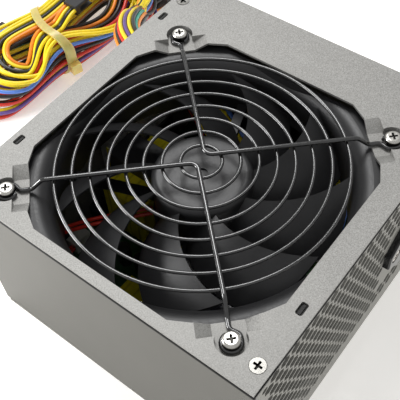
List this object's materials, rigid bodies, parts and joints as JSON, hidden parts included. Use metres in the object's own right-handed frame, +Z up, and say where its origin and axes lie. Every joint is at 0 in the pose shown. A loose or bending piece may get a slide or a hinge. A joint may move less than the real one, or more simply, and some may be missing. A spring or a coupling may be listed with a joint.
{
  "type": "computer power supply unit",
  "caption": "Sheet-metal computer power supply with a guarded top fan, mains inlet, rocker switch and a tied hank of output leads.",
  "frame": {"origin": "centre of the base, on the surface it rests on", "axes": "+Z up through the fan; -Y out of the rear panel with the mains inlet; +Y out of the front panel where the leads leave"},
  "size_m": [0.221, 0.2865, 0.0897],
  "materials": {
    "grey_powder_coat": "fine powder coat",
    "nickel": "bright nickel plate",
    "black_wire": "glossy black",
    "black_plastic": "satin",
    "gloss_black_plastic": "gloss",
    "steel": "plain",
    "brass": "plain",
    "magnet": "ferrite",
    "copper": "enamelled",
    "aluminium": "extruded",
    "yellow_tape": "tape",
    "ferrite": "sintered",
    "capacitor_sleeve": "sleeve",
    "board": "laminate",
    "clear_sheet": "film",
    "white_plastic": "satin",
    "lead_black": "insulation",
    "lead_yellow": "insulation",
    "lead_red": "insulation",
    "lead_orange": "insulation",
    "lead_mixed": "insulation",
    "nylon_strap": "natural nylon",
    "grey_rubber": "soft"
  },
  "bodies": {
    "case": {"base_tray": "grey_powder_coat", "board_screws": "nickel", "board_standoffs": "brass", "bridge_rectifier": "black_plastic", "bulk_capacitors": "capacitor_sleeve", "cable_grommet": "grey_rubber", "cable_hank": "lead_black", "cable_loom": "lead_black", "cable_strap": "nylon_strap", "choke_cores": "yellow_tape", "choke_windings": "copper", "circuit_board": "board", "control_chips": "black_plastic", "drive_plugs": "black_plastic", "earth_lead": "lead_yellow", "earth_screw": "nickel", "eight_pin_plugs": "black_plastic", "fan_bearing": "brass", "fan_circuit_board": "board", "fan_coils": "copper", "fan_frame": "black_plastic", "fan_leads": "lead_red", "fan_screws": "nickel", "fan_socket": "white_plastic", "fan_stator": "steel", "film_capacitor": "yellow_tape", "fuse": "white_plastic", "guard_rings": "black_wire", "guard_spokes": "black_wire", "heatsink_tape": "yellow_tape", "inlet_body": "gloss_black_plastic", "inlet_pins": "nickel", "inlet_screws": "nickel", "insulation_sheet": "clear_sheet", "leads_black": "lead_black", "leads_orange": "lead_orange", "leads_red": "lead_red", "leads_signal": "lead_mixed", "leads_yellow": "lead_yellow", "lid_plate": "grey_powder_coat", "lid_screws": "black_wire", "main_transformer_core": "ferrite", "main_transformer_winding": "yellow_tape", "mainboard_plug": "black_plastic", "mains_leads": "lead_mixed", "power_transistors": "black_plastic", "primary_heatsink": "aluminium", "sata_plugs": "black_plastic", "secondary_heatsink": "aluminium", "side_panel_left": "grey_powder_coat", "side_panel_right": "grey_powder_coat", "small_capacitors": "capacitor_sleeve", "small_transformers": "yellow_tape", "switch_body": "gloss_black_plastic", "switch_terminals": "nickel"},
    "fan_rotor": {"fan_impeller": "black_plastic", "fan_magnet_ring": "magnet", "fan_shaft": "steel", "fan_clip": "white_plastic"},
    "rocker": {"switch_rocker": "gloss_black_plastic"}
  },
  "joints": [
    {"name": "fan_spin", "type": "hinge", "parent": "case", "child": "fan_rotor", "pos_m": [-0.011, -0.0005, 0.07], "axis": [0, 0, 1], "continuous": true},
    {"name": "switch_rock", "type": "hinge", "parent": "case", "child": "rocker", "pos_m": [0.054, -0.0688, 0.021], "axis": [0, 0, 1], "range_deg": [-18, 0]}
  ]
}
